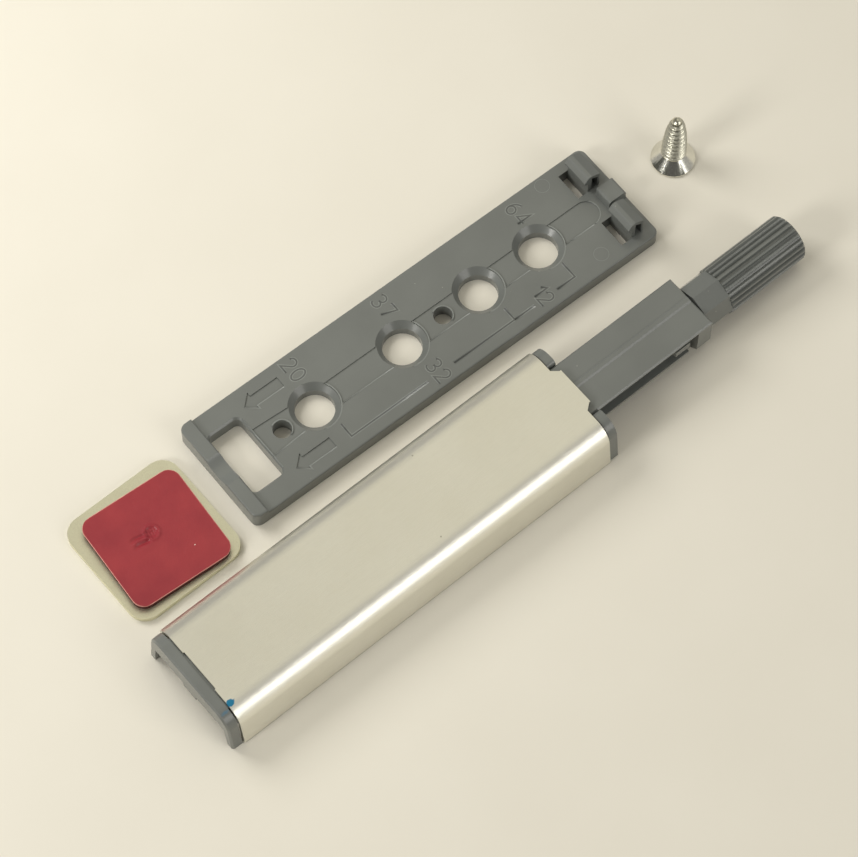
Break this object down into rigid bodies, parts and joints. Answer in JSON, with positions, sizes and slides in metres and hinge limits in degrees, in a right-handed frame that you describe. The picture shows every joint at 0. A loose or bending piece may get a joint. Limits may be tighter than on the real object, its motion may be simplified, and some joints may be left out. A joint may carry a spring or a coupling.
{
  "type": "push to open catch",
  "caption": "Push to open door catch: sprung latching plunger with magnetic adjustable tip, metal-clad housing, mounting plate, adhesive strike plate and screw.",
  "frame": {"origin": "centre of the housing's foot, on the plane of the panel it is fixed to", "axes": "+X along the plunger, out of the housing; +Z away from the panel; +Y across, towards the mounting plate lying beside the housing"},
  "size_m": [0.1189, 0.0452, 0.012],
  "materials": {
    "grey_plastic": "fine moulded satin",
    "brushed_cover": "brushed along the length",
    "spring_steel": "drawn wire",
    "galvanised_steel": "yellowish galvanised sheet",
    "magnet": "nickel plated",
    "foam_pad": "closed-cell foam",
    "red_liner": "thin satin film",
    "zinc_screw": "bright zinc"
  },
  "bodies": {
    "catch": {"housing": "grey_plastic", "metal_cover": "brushed_cover", "spring_guide_rod": "spring_steel", "drive_spring": "spring_steel", "follower_spring": "spring_steel", "mounting_plate": "grey_plastic", "strike_plate": "galvanised_steel", "adhesive_pad": "foam_pad", "release_liner": "red_liner", "mounting_screw": "zinc_screw"},
    "plunger": {"carriage": "grey_plastic"},
    "follower": {"latch_follower": "spring_steel"},
    "reach": {"magnet_cup": "spring_steel", "tip_magnet": "magnet"},
    "tip": {"adjuster_tip": "grey_plastic"}
  },
  "joints": [
    {"name": "plunger_slide", "type": "slide", "parent": "catch", "child": "plunger", "axis": [1, 0, 0], "range_m": [-0.038, 0], "stiffness_N_per_m": 150, "springref_m": 0.03, "deforming": ["drive_spring"]},
    {"name": "follower_swing", "type": "hinge", "parent": "catch", "child": "follower", "pos_m": [-0.024, -0.0029, 0.0016], "axis": [0, 0, 1], "range_deg": [-13, 0]},
    {"name": "tip_advance", "type": "slide", "parent": "plunger", "child": "reach", "axis": [1, 0, 0], "range_m": [0, 0.004]},
    {"name": "tip_turn", "type": "hinge", "parent": "reach", "child": "tip", "pos_m": [0.06, 0, 0.00415], "axis": [1, 0, 0], "range_deg": [0, 1440]}
  ],
  "couplings": [
    {"joint": "tip_turn", "follows": "tip_advance", "rad_per_m": 6280}
  ]
}
